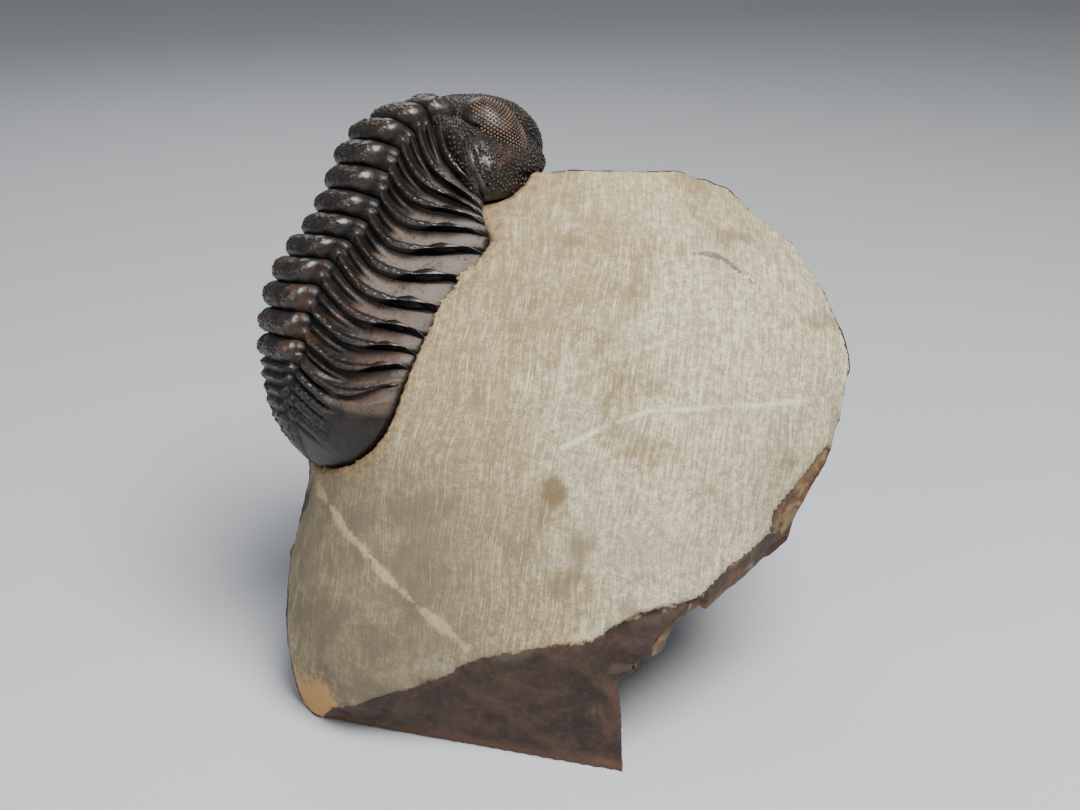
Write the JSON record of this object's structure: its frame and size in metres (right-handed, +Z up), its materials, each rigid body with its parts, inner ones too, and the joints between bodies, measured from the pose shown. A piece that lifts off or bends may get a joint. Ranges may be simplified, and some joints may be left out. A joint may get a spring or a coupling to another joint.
{
  "type": "trilobite fossil",
  "caption": "Curled dark trilobite with big compound eyes, standing out along the edge of a pale ground limestone block with a brown weathered foot.",
  "frame": {"origin": "middle of the footprint of the whole specimen, on the table", "axes": "+Z up, -Y the side the ground face looks towards, +X to the right when looking at that face"},
  "size_m": [0.0744, 0.0548, 0.0751],
  "materials": {
    "limestone": "ground matt face with brown weathered edge",
    "shell": "dark calcite with a soft sheen"
  },
  "bodies": {
    "root": {"matrix": "limestone", "cephalon": "shell", "thoracic_segment_01": "shell", "thoracic_segment_02": "shell", "thoracic_segment_03": "shell", "thoracic_segment_04": "shell", "thoracic_segment_05": "shell", "thoracic_segment_06": "shell", "thoracic_segment_07": "shell", "thoracic_segment_08": "shell", "thoracic_segment_09": "shell", "thoracic_segment_10": "shell", "thoracic_segment_11": "shell", "pygidium": "shell"}
  },
  "joints": []
}
